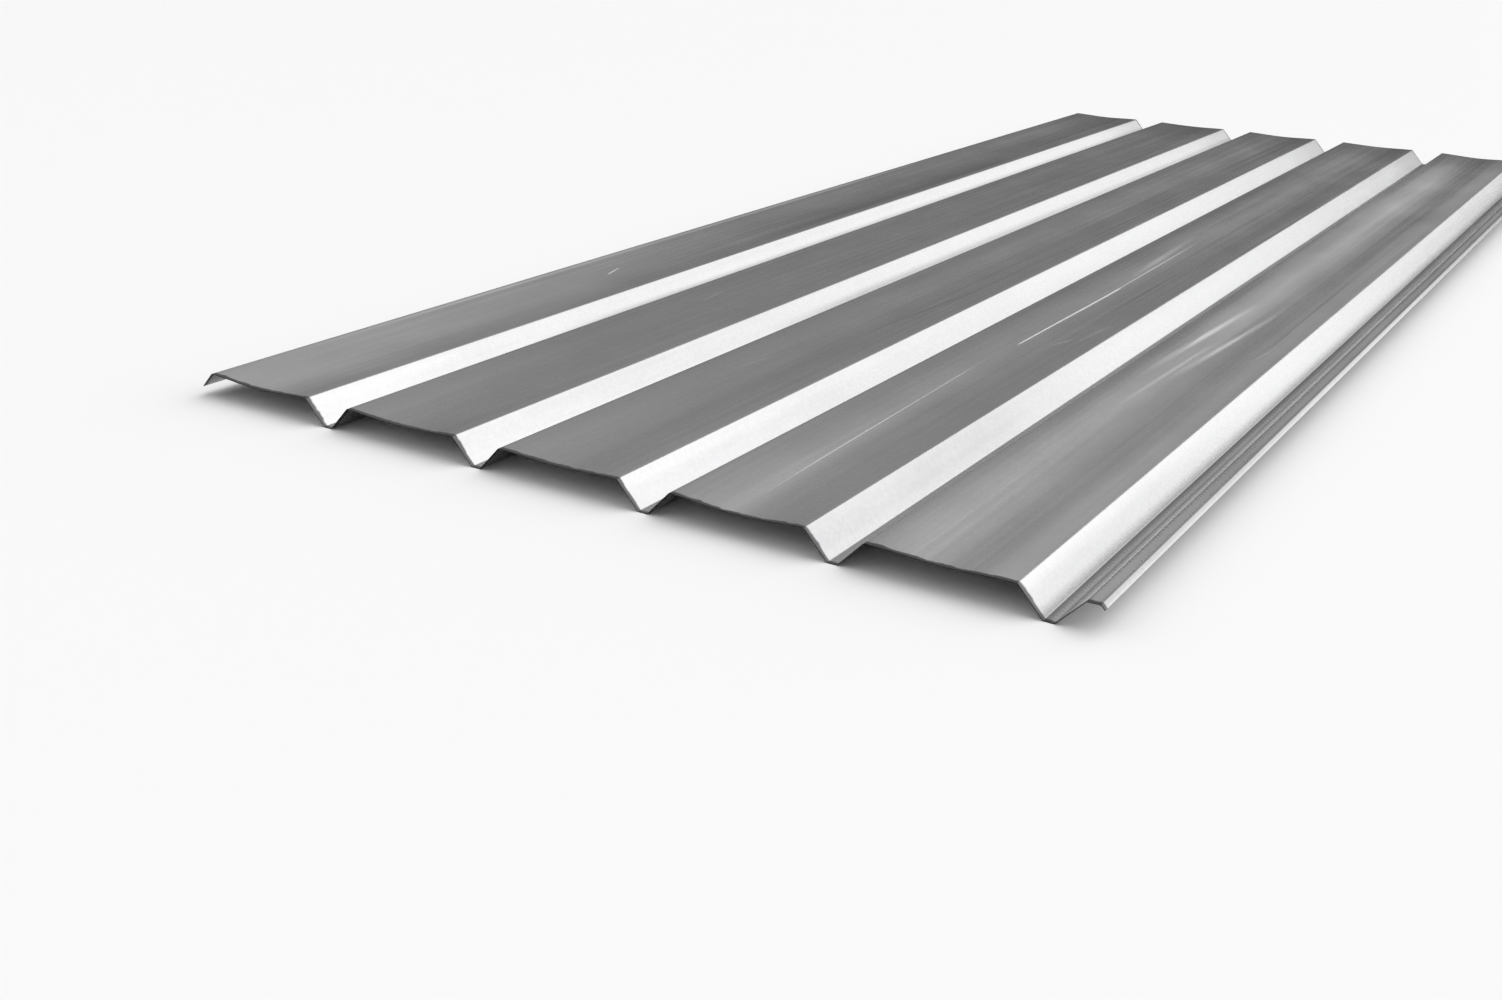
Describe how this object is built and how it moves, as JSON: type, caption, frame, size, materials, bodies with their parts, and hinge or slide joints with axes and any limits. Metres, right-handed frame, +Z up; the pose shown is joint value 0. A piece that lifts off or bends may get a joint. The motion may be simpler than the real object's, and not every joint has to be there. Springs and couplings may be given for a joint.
{
  "type": "profiled galvanized steel sheet",
  "caption": "Roll-formed trapezoidal galvanized steel sheet with broad flats, narrow ribs pointing down, a lap leg on one edge and a lipped foot on the other.",
  "frame": {"origin": "middle of the sheet's footprint, on the plane that the ribs rest on", "axes": "+X across the sheet from the lap leg to the lipped foot, +Y along the ribs away from the near end, +Z up with the ribs pointing down"},
  "size_m": [1.0574, 2.6, 0.028],
  "materials": {
    "galvanized_steel": "hot-dip zinc with fine spangle, slightly dulled, with streaks along the rolling direction"
  },
  "bodies": {
    "root": {"profiled_sheet": "galvanized_steel"}
  },
  "joints": []
}
